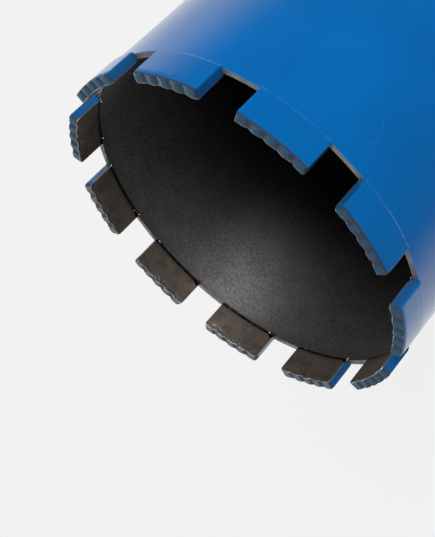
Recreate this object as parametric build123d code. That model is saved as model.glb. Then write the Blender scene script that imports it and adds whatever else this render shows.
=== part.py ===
from build123d import *
import os
from math import atan, cos, radians, sin

# A segmented diamond core bit for drilling round holes in concrete and masonry. A thin steel
# barrel carries sintered cutting segments on its open end, with waterways between them. The
# other end is closed by a back plate with a threaded hub, which screws onto the drill's
# spindle and lets the water in.
#
# The bit stands on the end face of its hub with the open end up. The origin is the centre of
# that face, +Z runs along the barrel's axis towards the cutting end, and lengths are in
# millimetres.

# Cutting segments
cutting_diameter = 132.0  # over the segments' outer faces, the size of the drilled hole
segment_count = 11
segment_length = 24.0  # between a segment's two parallel ends
segment_thickness = 3.5  # across the cut, from the core's side to the hole's side
segment_height = 11.6  # from the barrel's rim to the crown
segment_edge = 0.35  # rounding of the upright corners

# Crown: the cutting face of each segment is pressed in waves, so that it bites at once
wave_count = 5  # ridges on each segment
wave_depth = 0.45  # from the top of a ridge to the bottom of a valley
valley_radius = 1.4
crown_corner = 1.0  # rounding where the crown meets a segment's ends

# Barrel
barrel_wall = 2.0
useful_length = 150.0  # depth of hole that it drills, from the crown to the back plate

# Back plate
flange_thickness = 5.0  # the part that the barrel stands on
flange_edge = 1.5  # bevel round the flange's underside
spigot_height = 4.0  # the part that centres the barrel from inside
spigot_clearance = 0.1  # all round, between spigot and barrel

# Hub, with a female thread: one and a quarter inch, seven threads to the inch
hub_diameter = 48.0
hub_length = 32.0  # from the hub's end face to the back plate
hub_edge = 1.0  # bevel round the end face
thread_minor_diameter = 28.2
thread_lead_in = 2.4  # countersink at the end face
thread_run_out = 1.0  # bevel at the inner end
pilot_diameter = 38.0  # the part of the hub that sits in the back plate
pilot_clearance = 0.1  # all round, between pilot and plate
spanner_size = 41.0  # across the two flats
spanner_reach = 22.0  # length of the flats from the end face

# Welds
hub_weld_leg = 5.0  # fillet between hub and back plate
hub_weld_bulge = 0.7
seam_depth = 1.0  # groove round the joint between barrel and flange
seam_bulge = 0.35

# Sizes and places that follow from the ones above
relief = (segment_thickness - barrel_wall) / 2  # how far a segment stands proud on each side
segment_outer_radius = cutting_diameter / 2
segment_inner_radius = segment_outer_radius - segment_thickness
barrel_outer_radius = segment_outer_radius - relief
barrel_inner_radius = barrel_outer_radius - barrel_wall
barrel_length = useful_length - segment_height + spigot_height
plate_bottom = hub_length
flange_top = plate_bottom + flange_thickness
plate_top = flange_top + spigot_height
rim_level = flange_top + barrel_length
segment_pitch = 360 / segment_count
first_segment_angle = segment_pitch / 4  # puts a segment at -Y and a waterway at +Y
cutter_margin = 2.0  # how far a cutting tool runs past the piece that it cuts


def turned(*outline):
    """A solid of revolution about the bit's axis from (radius, height) corners."""
    section = make_face(Polyline(*outline, close=True))
    return revolve(Plane.XZ * section, Axis.Z)


def barrel():
    """The thin tube, open at the rim, with half of the weld groove at its foot."""
    return turned(
        (barrel_inner_radius, flange_top),
        (barrel_outer_radius - seam_depth, flange_top),
        (barrel_outer_radius, flange_top + seam_depth),
        (barrel_outer_radius, rim_level),
        (barrel_inner_radius, rim_level),
    )


def back_plate():
    """The disc that closes the barrel: a flange, a centring spigot and the hub's hole."""
    spigot_radius = barrel_inner_radius - spigot_clearance
    hole_radius = pilot_diameter / 2 + pilot_clearance
    return turned(
        (hole_radius, plate_bottom),
        (barrel_outer_radius - flange_edge, plate_bottom),
        (barrel_outer_radius, plate_bottom + flange_edge),
        (barrel_outer_radius, flange_top - seam_depth),
        (barrel_outer_radius - seam_depth, flange_top),
        (spigot_radius, flange_top),
        (spigot_radius, plate_top),
        (hole_radius, plate_top),
    )


def hub():
    """The threaded boss with its pilot in the back plate and two flats for a spanner."""
    outer = hub_diameter / 2
    bore = thread_minor_diameter / 2
    pilot = pilot_diameter / 2
    body = turned(
        (bore + thread_lead_in, 0),
        (outer - hub_edge, 0),
        (outer, hub_edge),
        (outer, plate_bottom),
        (pilot, plate_bottom),
        (pilot, plate_top),
        (bore + thread_run_out, plate_top),
        (bore, plate_top - thread_run_out),
        (bore, thread_lead_in),
    )
    cut_depth = outer - spanner_size / 2 + cutter_margin
    cut_height = spanner_reach + cutter_margin
    cut = Box(cut_depth, hub_diameter + 2 * cutter_margin, cut_height)
    cut_x = spanner_size / 2 + cut_depth / 2
    cut_z = spanner_reach - cut_height / 2
    for side in (-1, 1):
        body -= Pos(side * cut_x, 0, cut_z) * cut
    return body


def hub_weld():
    """The fillet weld in the corner between the hub and the back plate, raised in its middle."""
    inner = hub_diameter / 2
    half_leg = hub_weld_leg / 2
    swell = hub_weld_bulge * sin(radians(45))
    return turned(
        (inner, plate_bottom - hub_weld_leg),
        (inner + half_leg + swell, plate_bottom - half_leg - swell),
        (inner + hub_weld_leg, plate_bottom),
        (inner, plate_bottom),
    )


def seam_weld():
    """The weld that fills the groove between the barrel and the back plate."""
    return turned(
        (barrel_outer_radius, flange_top - seam_depth),
        (barrel_outer_radius + seam_bulge, flange_top),
        (barrel_outer_radius, flange_top + seam_depth),
        (barrel_outer_radius - seam_depth, flange_top),
    )


def crown_line():
    """The waved top of a segment's side view, as arcs that run smoothly into each other."""
    end = segment_length / 2
    pitch = segment_length / wave_count
    slope = 2 * atan(2 * wave_depth / pitch)  # where a ridge's arc meets a valley's
    ridge_radius = pitch / 2 / sin(slope) - valley_radius
    reach = ridge_radius * sin(slope)  # from the middle of a ridge to its valleys
    join = segment_height - ridge_radius * (1 - cos(slope))
    tops = [(i + 0.5) * pitch - end for i in range(wave_count)]
    line = Line((-end, segment_height), (tops[0], segment_height))
    line += Line((tops[-1], segment_height), (end, segment_height))
    for left, right in zip(tops, tops[1:]):
        valley = ((left + right) / 2, segment_height - wave_depth)
        line += TangentArc((left, segment_height), (left + reach, join), tangent=(1, 0))
        line += ThreePointArc((left + reach, join), valley, (right - reach, join))
        line += TangentArc((right, segment_height), (right - reach, join), tangent=(-1, 0))
    return line


def side_view():
    """A segment seen from the core's side, with its foot on the X axis."""
    end = segment_length / 2
    sides = Polyline((-end, segment_height), (-end, 0), (end, 0), (end, segment_height))
    outline = make_face(crown_line() + sides)
    corners = outline.vertices().group_by(Axis.Y)[-1]
    shoulders = [corners.sort_by(Axis.X)[0], corners.sort_by(Axis.X)[-1]]
    return fillet(shoulders, crown_corner)


def segment():
    """One cutting segment, centred on +X with its foot at zero."""
    reach = segment_outer_radius + cutter_margin
    ring = turned(
        (segment_inner_radius, 0),
        (segment_outer_radius, 0),
        (segment_outer_radius, segment_height),
        (segment_inner_radius, segment_height),
    )
    slab = Box(reach, segment_length, segment_height, align=(Align.MIN, Align.CENTER, Align.MIN))
    block = ring & slab
    block = fillet(block.edges().filter_by(Axis.Z), segment_edge)
    return block & extrude(Plane.YZ * side_view(), reach)


def segment_places():
    """The place of each segment on the barrel's rim."""
    for i in range(segment_count):
        angle = first_segment_angle + i * segment_pitch
        yield Pos(0, 0, rim_level) * Rot(0, 0, angle)


def write(shape, name):
    """Writes one piece to its own file."""
    export_step(shape, f"parts/{name}.step")


def main():
    """Builds every piece and writes it."""
    os.makedirs("parts", exist_ok=True)
    write(barrel(), "barrel")
    write(back_plate(), "back_plate")
    write(hub(), "hub")
    write(hub_weld(), "hub_weld")
    write(seam_weld(), "seam_weld")
    one_segment = segment()
    for number, place in enumerate(segment_places(), start=1):
        write(place * one_segment, f"segment_{number:02d}")


main()
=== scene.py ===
"""Looks of a segmented diamond core bit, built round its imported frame.

The bit stands on its hub with the mouth up. Lengths are in metres and places are in the frame's
own axes: the origin is the centre of the hub's end face, and +Z runs along the barrel towards
the cutting end.

In the finishes, tones are the stretch of a pattern where one colour turns into another, a share
is how strong an effect gets at most, and a least keeps a ragged depth from shrinking to nothing.
"""

import logging
import math
import random
from collections.abc import Sequence
from dataclasses import dataclass, field
from enum import Enum, IntEnum
from typing import NamedTuple

import bmesh
import bpy
from bmesh.types import BMesh, BMEdge, BMVert
from bpy.types import ID, Material, Mesh, Node, NodeSocket, NodeTree, Object
from mathutils import Matrix, Vector, noise


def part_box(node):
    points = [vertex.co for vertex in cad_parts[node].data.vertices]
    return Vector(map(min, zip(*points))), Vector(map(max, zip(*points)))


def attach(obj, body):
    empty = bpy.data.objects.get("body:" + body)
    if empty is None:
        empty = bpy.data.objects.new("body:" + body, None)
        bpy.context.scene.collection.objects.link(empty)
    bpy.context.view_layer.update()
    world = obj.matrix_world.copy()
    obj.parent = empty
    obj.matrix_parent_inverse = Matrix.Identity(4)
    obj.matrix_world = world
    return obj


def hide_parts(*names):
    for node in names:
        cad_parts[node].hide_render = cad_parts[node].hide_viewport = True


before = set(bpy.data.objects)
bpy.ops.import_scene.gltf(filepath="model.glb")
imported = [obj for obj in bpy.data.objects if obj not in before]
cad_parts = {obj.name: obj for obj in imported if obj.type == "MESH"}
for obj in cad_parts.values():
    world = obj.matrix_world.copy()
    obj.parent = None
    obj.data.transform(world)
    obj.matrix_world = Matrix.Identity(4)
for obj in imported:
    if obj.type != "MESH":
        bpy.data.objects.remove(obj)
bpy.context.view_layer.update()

log = logging.getLogger("core_bit")

MM = 0.001
INCH = 25.4 * MM
BODY = "root"
UP = Vector((0.0, 0.0, 1.0))
ORIGIN = Vector((0.0, 0.0, 0.0))

Colour = tuple[float, float, float, float]
Point = tuple[float, float]
# What feeds a node: a plain value, or the output of another node
Number = NodeSocket | float
Tint = NodeSocket | Colour


class Slot(str, Enum):
    """The record's material slots."""

    BARREL = "barrel_paint"
    PLATE = "plate_paint"
    HUB = "hub_steel"
    SEGMENT = "sintered_segment"


class Side(Enum):
    """The two sides of the barrel's wall."""

    CORE = "inner"
    HOLE = "outer"


class Skin(IntEnum):
    """The order of the materials on the barrel and on the back plate."""

    PAINTED = 0
    INSIDE = 1
    RIM = 2


class Span(NamedTuple):
    """The two ends of a range."""

    low: float
    high: float


class Grain(NamedTuple):
    """A fine grain with soft patches: both in cells per metre, and the patches' share."""

    scale: float
    patch_scale: float
    patches: float


class Mottle(NamedTuple):
    """A noise pattern: its cells per metre, and the settings of the noise."""

    scale: float
    detail: float = 2.0
    roughness: float = 0.5


class Dots(NamedTuple):
    """Scattered dots: cells per metre, a dot's size, the share of cells with one, and strength."""

    scale: float
    size: float
    share: float
    strength: float


class Hairlines(NamedTuple):
    """Fine scratches: cells per metre, their width in the pattern, and strength."""

    scale: float
    width: float
    strength: float


class Wear(NamedTuple):
    """Wear along an edge: how far it reaches, and its raggedness in cells per metre."""

    reach: float
    scale: float


# The values that a grain keeps to
GRAIN_RANGE = Span(0.3, 0.7)


def srgb(red: int, green: int, blue: int) -> Colour:
    """Turns a colour as written in a picture, 0 to 255, into the linear one that a shader takes.

    Args:
        red: Red, from 0 to 255.
        green: Green, from 0 to 255.
        blue: Blue, from 0 to 255.

    Returns:
        The linear colour with full alpha.
    """
    values = [c / 255 for c in (red, green, blue)]
    linear = [v / 12.92 if v <= 0.04045 else ((v + 0.055) / 1.055) ** 2.4 for v in values]
    return (linear[0], linear[1], linear[2], 1.0)


@dataclass(frozen=True)
class BitSizes:
    """The sizes that more than one sub-assembly needs, read from the frame's solids."""

    hub_radius: float
    plate_bottom: float
    barrel_radius: float
    barrel_foot: float
    rim: float
    crown: float
    plate_top: float
    cutting_radius: float
    wall: float = 2.0 * MM
    segment_thickness: float = 3.5 * MM
    segment_length: float = 24.0 * MM
    segment_count: int = 11
    groove: float = 1.0 * MM
    spin_steps: int = 352

    @classmethod
    def from_frame(cls) -> "BitSizes":
        """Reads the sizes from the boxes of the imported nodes.

        Returns:
            The sizes.
        """
        barrel_low, barrel_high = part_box("barrel")
        plate_low, plate_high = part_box("back_plate")
        _, hub_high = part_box("hub")
        _, segment_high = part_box("segment_01")
        return cls(
            hub_radius=hub_high.y,
            plate_bottom=plate_low.z,
            barrel_radius=barrel_high.x,
            barrel_foot=barrel_low.z,
            rim=barrel_high.z,
            crown=segment_high.z,
            plate_top=plate_high.z,
            cutting_radius=-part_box("segment_09")[0].y,
        )

    @property
    def barrel_bore(self) -> float:
        """The barrel's inner radius."""
        return self.barrel_radius - self.wall

    @property
    def core_radius(self) -> float:
        """The radius inside the segments."""
        return self.cutting_radius - self.segment_thickness

    @property
    def pitch(self) -> float:
        """The angle from one segment to the next."""
        return math.tau / self.segment_count

    @property
    def first_angle(self) -> float:
        """The angle of the first segment's middle from +X."""
        return self.pitch / 4

    @property
    def half_span(self) -> float:
        """The angle from a segment's middle to its end, at the barrel's wall."""
        return math.asin(self.segment_length / 2 / self.barrel_radius)

    @property
    def end_turn(self) -> float:
        """The turn from a segment's middle to its end, as a share of the pitch."""
        return self.half_span / self.pitch

    def segment_angle(self, index: int) -> float:
        """The angle of a segment's middle, counted from 0."""
        return self.first_angle + index * self.pitch


class Graph:
    """A short way to write the nodes of a material, of a shader group or of the world."""

    def __init__(self, tree: NodeTree) -> None:
        """Takes the tree that the nodes go into."""
        self.tree = tree

    def add(self, kind: str, inputs: dict | None = None, **settings: object) -> Node:
        """Adds a node.

        Args:
            kind: The node's type name in Blender.
            inputs: Socket names with a value, or with the output that feeds them.
            settings: The node's own settings.

        Returns:
            The new node.
        """
        node = self.tree.nodes.new(kind)
        for name, value in settings.items():
            setattr(node, name, value)
        for name, value in (inputs or {}).items():
            self.feed(node.inputs[name], value)
        return node

    def feed(self, socket: NodeSocket, value: Number | Tint) -> None:
        """Links an output to a socket, or sets the socket's own value.

        Args:
            socket: The socket.
            value: The output, or the value.
        """
        if isinstance(value, NodeSocket):
            self.tree.links.new(value, socket)
        else:
            socket.default_value = value

    def math(self, operation: str, first: Number, second: Number = 0.0) -> NodeSocket:
        """One step of arithmetic.

        Args:
            operation: The step's name in Blender.
            first: The first value.
            second: The second value.

        Returns:
            The result.
        """
        node = self.add("ShaderNodeMath", operation=operation)
        self.feed(node.inputs[0], first)
        self.feed(node.inputs[1], second)
        return node.outputs[0]

    def ramp(
        self, value: Number, low: float, high: float, start: Number = 0.0, end: Number = 1.0
    ) -> NodeSocket:
        """A smooth step from start to end as a value goes from low to high."""
        inputs = {"Value": value, "From Min": low, "From Max": high, "To Min": start, "To Max": end}
        return self.add("ShaderNodeMapRange", inputs, interpolation_type="SMOOTHSTEP").outputs[0]

    def fade(self, value: Number, low: float, high: float, start: float = 1.0) -> NodeSocket:
        """A smooth step from start down to 0 as a value goes from low to high."""
        return self.ramp(value, low, high, start, 0.0)

    def blend(self, factor: Number, first: Tint, second: Tint) -> NodeSocket:
        """A mix of two colours.

        Args:
            factor: The share of the second colour, from 0 to 1.
            first: The first colour.
            second: The second colour.

        Returns:
            The mixed colour.
        """
        node = self.add("ShaderNodeMix", data_type="RGBA")
        self.feed(node.inputs[0], factor)
        self.feed(node.inputs[6], first)
        self.feed(node.inputs[7], second)
        return node.outputs[2]

    def between(self, factor: Number, first: Number, second: Number) -> NodeSocket:
        """A mix of two numbers.

        Args:
            factor: The share of the second number, from 0 to 1.
            first: The first number.
            second: The second number.

        Returns:
            The number between them.
        """
        node = self.add("ShaderNodeMix", data_type="FLOAT")
        self.feed(node.inputs[0], factor)
        self.feed(node.inputs[2], first)
        self.feed(node.inputs[3], second)
        return node.outputs[0]

    def noise(
        self, position: NodeSocket, scale: Number, detail: float = 2.0, roughness: float = 0.5
    ) -> NodeSocket:
        """A noise pattern, from 0 to 1."""
        inputs = {"Vector": position, "Scale": scale, "Detail": detail, "Roughness": roughness}
        return self.add("ShaderNodeTexNoise", inputs).outputs[0]

    def backdrop_rays(self) -> NodeSocket:
        """Tells the rays that should see the plain backdrop from those that only light.

        Returns:
            1 for the first and 0 for the others.
        """
        path = self.add("ShaderNodeLightPath").outputs
        mirrored = self.math("MAXIMUM", path["Is Glossy Ray"], path["Is Transmission Ray"])
        return self.math("MAXIMUM", path["Is Camera Ray"], mirrored)


class GroupKit:
    """The shader groups that several materials share, each built once."""

    hair_level: float = 0.5
    hair_break_scale: float = 2.3
    hair_breaks: Span = Span(0.56, 0.64)
    wear_least: float = 0.35
    wear_edge: Span = Span(0.45, 0.6)

    def __init__(self, sizes: BitSizes) -> None:
        """Builds every group.

        Args:
            sizes: The bit's sizes, which the position group needs.
        """
        self.sizes = sizes
        self.position = self._position()
        self.specks = self._specks()
        self.scratches = self._scratches()
        self.edge_wear = self._edge_wear()
        self.grain = self._grain()

    @staticmethod
    def _begin(name: str, inputs: dict[str, str], outputs: dict[str, str]) -> tuple[Graph, Node, Node]:
        """Starts a group with named sockets.

        Args:
            name: The group's name.
            inputs: Input names with their socket type, without its prefix.
            outputs: Output names with their socket type, without its prefix.

        Returns:
            The group's graph, its input node and its output node.
        """
        tree = bpy.data.node_groups.new(name, "ShaderNodeTree")
        for direction, sockets in (("INPUT", inputs), ("OUTPUT", outputs)):
            for label, kind in sockets.items():
                tree.interface.new_socket(label, in_out=direction, socket_type=f"NodeSocket{kind}")
        graph = Graph(tree)
        return graph, graph.add("NodeGroupInput"), graph.add("NodeGroupOutput")

    def _position(self) -> NodeTree:
        """Builds the group that tells where a point is on the bit.

        Returns:
            The group, with the radius, the height, and the turn from the nearest segment's middle.
        """
        outputs = {"Radius": "Float", "Height": "Float", "Turn": "Float"}
        graph, given, result = self._begin("Bit position", {"Position": "Vector"}, outputs)
        parts = graph.add("ShaderNodeSeparateXYZ", {"Vector": given.outputs["Position"]})
        x, y, z = parts.outputs
        square = graph.math("ADD", graph.math("MULTIPLY", x, x), graph.math("MULTIPLY", y, y))
        angle = graph.math("SUBTRACT", graph.math("ARCTAN2", y, x), self.sizes.first_angle)
        share = graph.math("DIVIDE", angle, self.sizes.pitch)
        nearest = graph.math("ROUND", share)
        graph.feed(result.inputs["Radius"], graph.math("SQRT", square))
        graph.feed(result.inputs["Height"], z)
        graph.feed(result.inputs["Turn"], graph.math("SUBTRACT", share, nearest))
        return graph.tree

    def _specks(self) -> NodeTree:
        """Builds the group of small round dots, scattered and thinned out at random.

        Returns:
            The group, with the dots' mask.
        """
        inputs = {"Position": "Vector", "Scale": "Float", "Size": "Float", "Share": "Float"}
        graph, given, result = self._begin("Specks", inputs, {"Mask": "Float"})
        place = {"Vector": given.outputs["Position"], "Scale": given.outputs["Scale"]}
        cells = graph.add("ShaderNodeTexVoronoi", place)
        tone = graph.add("ShaderNodeSeparateColor", {"Color": cells.outputs["Color"]}).outputs[0]
        chosen = graph.math("LESS_THAN", tone, given.outputs["Share"])
        near = graph.math("LESS_THAN", cells.outputs["Distance"], given.outputs["Size"])
        graph.feed(result.inputs["Mask"], graph.math("MULTIPLY", chosen, near))
        return graph.tree

    def _scratches(self) -> NodeTree:
        """Builds the group of hairlines: level lines of a noise, broken up by another.

        Returns:
            The group, with the lines' mask.
        """
        inputs = {"Position": "Vector", "Scale": "Float", "Width": "Float"}
        graph, given, result = self._begin("Scratches", inputs, {"Mask": "Float"})
        place = given.outputs["Position"]
        value = graph.noise(place, given.outputs["Scale"], detail=0.0)
        off_level = graph.math("ABSOLUTE", graph.math("SUBTRACT", value, self.hair_level))
        line = graph.math("LESS_THAN", off_level, given.outputs["Width"])
        scale = graph.math("MULTIPLY", given.outputs["Scale"], self.hair_break_scale)
        kept = graph.ramp(graph.noise(place, scale), *self.hair_breaks)
        graph.feed(result.inputs["Mask"], graph.math("MULTIPLY", line, kept))
        return graph.tree

    def _edge_wear(self) -> NodeTree:
        """Builds the group of wear that starts at an edge and breaks up away from it.

        Returns:
            The group, with the wear's mask.
        """
        inputs = {"Position": "Vector", "Distance": "Float", "Reach": "Float", "Scale": "Float"}
        graph, given, result = self._begin("Edge wear", inputs, {"Mask": "Float"})
        ragged = graph.noise(given.outputs["Position"], given.outputs["Scale"], detail=4.0, roughness=0.65)
        share = graph.math("DIVIDE", given.outputs["Distance"], given.outputs["Reach"])
        level = graph.math("SUBTRACT", graph.math("ADD", ragged, self.wear_least), share)
        graph.feed(result.inputs["Mask"], graph.ramp(level, *self.wear_edge))
        return graph.tree

    def _grain(self) -> NodeTree:
        """Builds the group of a fine grain with larger soft patches.

        Returns:
            The group, with one value from 0 to 1.
        """
        inputs = {"Position": "Vector", "Scale": "Float", "Patch Scale": "Float", "Patches": "Float"}
        graph, given, result = self._begin("Grain", inputs, {"Value": "Float"})
        place = given.outputs["Position"]
        fine = graph.noise(place, given.outputs["Scale"], detail=3.0, roughness=0.6)
        patches = graph.noise(place, given.outputs["Patch Scale"], detail=2.0)
        graph.feed(result.inputs["Value"], graph.between(given.outputs["Patches"], fine, patches))
        return graph.tree


@dataclass
class Finish:
    """A material being written: its nodes, its shader and the bit's position values."""

    name: str
    kit: GroupKit
    material: Material = field(init=False)
    graph: Graph = field(init=False)
    shader: Node = field(init=False)
    place: NodeSocket = field(init=False)
    radius: NodeSocket = field(init=False)
    height: NodeSocket = field(init=False)
    turn: NodeSocket = field(init=False)

    def __post_init__(self) -> None:
        """Starts the material with a shader, an output and the position group."""
        self.material = bpy.data.materials.new(self.name)
        self.material.use_nodes = True
        self.material.node_tree.nodes.clear()
        self.graph = Graph(self.material.node_tree)
        self.shader = self.graph.add("ShaderNodeBsdfPrincipled")
        self.graph.add("ShaderNodeOutputMaterial", {"Surface": self.shader.outputs[0]})
        self.place = self.graph.add("ShaderNodeTexCoord").outputs["Object"]
        where = self.group(self.kit.position)
        self.radius = where.outputs["Radius"]
        self.height = where.outputs["Height"]
        self.turn = where.outputs["Turn"]

    def group(self, tree: NodeTree, **inputs: Number) -> Node:
        """Places a shared group, fed with the object's own coordinates.

        Args:
            tree: The group.
            inputs: The group's other inputs, with an underscore for each space.

        Returns:
            The group's node.
        """
        node = self.graph.add("ShaderNodeGroup", node_tree=tree)
        self.graph.feed(node.inputs["Position"], self.place)
        for name, value in inputs.items():
            self.graph.feed(node.inputs[name.replace("_", " ")], value)
        return node

    def grain(self, grain: Grain) -> NodeSocket:
        """A fine grain with soft patches, from 0 to 1."""
        inputs = {"Scale": grain.scale, "Patch_Scale": grain.patch_scale, "Patches": grain.patches}
        return self.group(self.kit.grain, **inputs).outputs[0]

    def dots(self, dots: Dots) -> NodeSocket:
        """The mask of scattered dots."""
        mask = self.group(self.kit.specks, Scale=dots.scale, Size=dots.size, Share=dots.share).outputs[0]
        return self.graph.math("MULTIPLY", mask, dots.strength)

    def hairlines(self, lines: Hairlines) -> NodeSocket:
        """The mask of fine scratches."""
        mask = self.group(self.kit.scratches, Scale=lines.scale, Width=lines.width).outputs[0]
        return self.graph.math("MULTIPLY", mask, lines.strength)

    def worn(self, distance: NodeSocket, wear: Wear) -> NodeSocket:
        """The mask of wear along an edge, from the distance to that edge."""
        inputs = {"Distance": distance, "Reach": wear.reach, "Scale": wear.scale}
        return self.group(self.kit.edge_wear, **inputs).outputs[0]

    def mottle(self, mottle: Mottle) -> NodeSocket:
        """A noise pattern on the bit's own coordinates, from 0 to 1."""
        return self.graph.noise(self.place, *mottle)

    def below(self, level: float) -> NodeSocket:
        """How far a point lies below a level."""
        return self.graph.math("SUBTRACT", level, self.height)

    def aside(self) -> NodeSocket:
        """How far a point is turned from its segment's middle, on either side."""
        return self.graph.math("ABSOLUTE", self.turn)

    def grazing(self, low: float, high: float) -> NodeSocket:
        """A mask of the stretches that turn away from the viewer, for gloss alone."""
        facing = self.graph.add("ShaderNodeLayerWeight", {"Blend": 0.5}).outputs["Facing"]
        return self.graph.ramp(facing, low, high)

    def set(self, **inputs: Number | Tint) -> None:
        """Sets or links the shader's sockets, with an underscore for each space."""
        for name, value in inputs.items():
            self.graph.feed(self.shader.inputs[name.replace("_", " ")], value)

    def bump(self, height: NodeSocket, depth: float) -> None:
        """Feeds the shader's normal from a height pattern of the given depth in metres."""
        node = self.graph.add("ShaderNodeBump", {"Height": height, "Distance": depth})
        self.set(Normal=node.outputs[0])


@dataclass(frozen=True)
class Lacquer:
    """The paint's clear top, which shines where it turns away from the viewer."""

    turned_away: Span = Span(0.37, 0.58)
    ior: float = 1.5
    roughness: float = 0.2
    specular: float = 0.04

    def coat(self, finish: Finish, cover: Number = 1.0) -> None:
        """Adds the coat to a material.

        Args:
            finish: The material.
            cover: Where the coat lies, from 0 to 1.
        """
        sheen = finish.grazing(*self.turned_away)
        finish.set(Coat_Weight=finish.graph.math("MULTIPLY", cover, sheen))
        finish.set(Coat_IOR=self.ior, Coat_Roughness=self.roughness)
        finish.set(Specular_IOR_Level=self.specular)


@dataclass(frozen=True)
class BluePaint:
    """Glossy blue enamel, worn through along the rim."""

    colour: Colour = srgb(0, 93, 160)
    deep: Colour = srgb(0, 87, 152)
    thin: Colour = srgb(50, 108, 158)
    scratched: Colour = srgb(70, 130, 185)
    cloud: Grain = Grain(scale=900.0, patch_scale=28.0, patches=0.8)
    cloud_tones: Span = Span(0.35, 0.65)
    roughness: Span = Span(0.26, 0.36)
    hairlines: Hairlines = Hairlines(scale=46.0, width=0.0012, strength=0.25)
    peel: Mottle = Mottle(scale=520.0, detail=1.0)
    peel_depth: float = 0.004 * MM
    wear: Wear = Wear(reach=0.55 * MM, scale=420.0)
    wear_metallic: float = 0.3
    gap_fade: float = 0.02
    lacquer: Lacquer = Lacquer()

    def build(self, kit: GroupKit, name: str, edge: float | None = None) -> Material:
        """Writes the material.

        Args:
            kit: The shared groups.
            name: The material's name.
            edge: The height of the edge that has lost its paint, or None.

        Returns:
            The material.
        """
        finish = Finish(name, kit)
        graph = finish.graph
        cloud = finish.grain(self.cloud)
        colour = graph.blend(graph.ramp(cloud, *self.cloud_tones), self.deep, self.colour)
        colour = graph.blend(finish.hairlines(self.hairlines), colour, self.scratched)
        if edge is not None:
            worn = self._worn(finish, edge)
            colour = graph.blend(worn, colour, self.thin)
            finish.set(Metallic=graph.math("MULTIPLY", worn, self.wear_metallic))
        finish.set(Base_Color=colour, Roughness=graph.ramp(cloud, *GRAIN_RANGE, *self.roughness))
        self.lacquer.coat(finish)
        finish.bump(finish.mottle(self.peel), self.peel_depth)
        return finish.material

    def _worn(self, finish: Finish, edge: float) -> NodeSocket:
        """The mask of the paint lost along an edge, in the gaps between the segments.

        Args:
            finish: The material.
            edge: The edge's height.

        Returns:
            The mask, from 0 to 1.
        """
        graph, end = finish.graph, finish.kit.sizes.end_turn
        gap = graph.ramp(finish.aside(), end, end + self.gap_fade)
        return graph.math("MULTIPLY", finish.worn(finish.below(edge), self.wear), gap)


@dataclass(frozen=True)
class ScorchAndShade:
    """The black line under each segment's ledge inside the barrel, with a burn where it ends.

    The line is partly weld scorch and partly painted shade under the segment's ledge. The overrun,
    the inset and the reach are shares of the angle from one segment to the next, and the fades are
    shares of the depth.
    """

    ragged: Mottle = Mottle(scale=700.0, detail=3.0)
    line_depth: float = 1.05 * MM
    line_least: float = 0.5
    line_fade: Span = Span(0.7, 1.15)
    line_overrun: Span = Span(-0.004, 0.012)
    burn_depth: float = 2.3 * MM
    burn_least: float = 0.4
    burn_fade: Span = Span(0.5, 1.0)
    burn_inset: float = 0.01
    burn_reach: Span = Span(0.01, 0.05)

    def mask(self, finish: Finish) -> NodeSocket:
        """Where the wall is scorched or painted with the ledge's shade.

        Args:
            finish: The material.

        Returns:
            The mask, from 0 to 1.
        """
        graph, end = finish.graph, finish.kit.sizes.end_turn
        ragged = finish.mottle(self.ragged)
        depth = graph.math("MULTIPLY", graph.math("ADD", ragged, self.line_least), self.line_depth)
        along = graph.fade(finish.aside(), end + self.line_overrun.low, end + self.line_overrun.high)
        line = graph.math("MULTIPLY", self._near_rim(finish, depth, self.line_fade), along)
        depth = graph.math("MULTIPLY", graph.math("ADD", ragged, self.burn_least), self.burn_depth)
        off_end = graph.math("ABSOLUTE", graph.math("SUBTRACT", finish.turn, end - self.burn_inset))
        along = graph.fade(off_end, *self.burn_reach)
        burn = graph.math("MULTIPLY", self._near_rim(finish, depth, self.burn_fade), along)
        return graph.math("MAXIMUM", line, burn)

    @staticmethod
    def _near_rim(finish: Finish, depth: NodeSocket, fade: Span) -> NodeSocket:
        """The mask from the rim down to a depth, which ends between two shares of that depth."""
        share = finish.graph.math("DIVIDE", finish.below(finish.kit.sizes.rim), depth)
        return finish.graph.fade(share, *fade)


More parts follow.
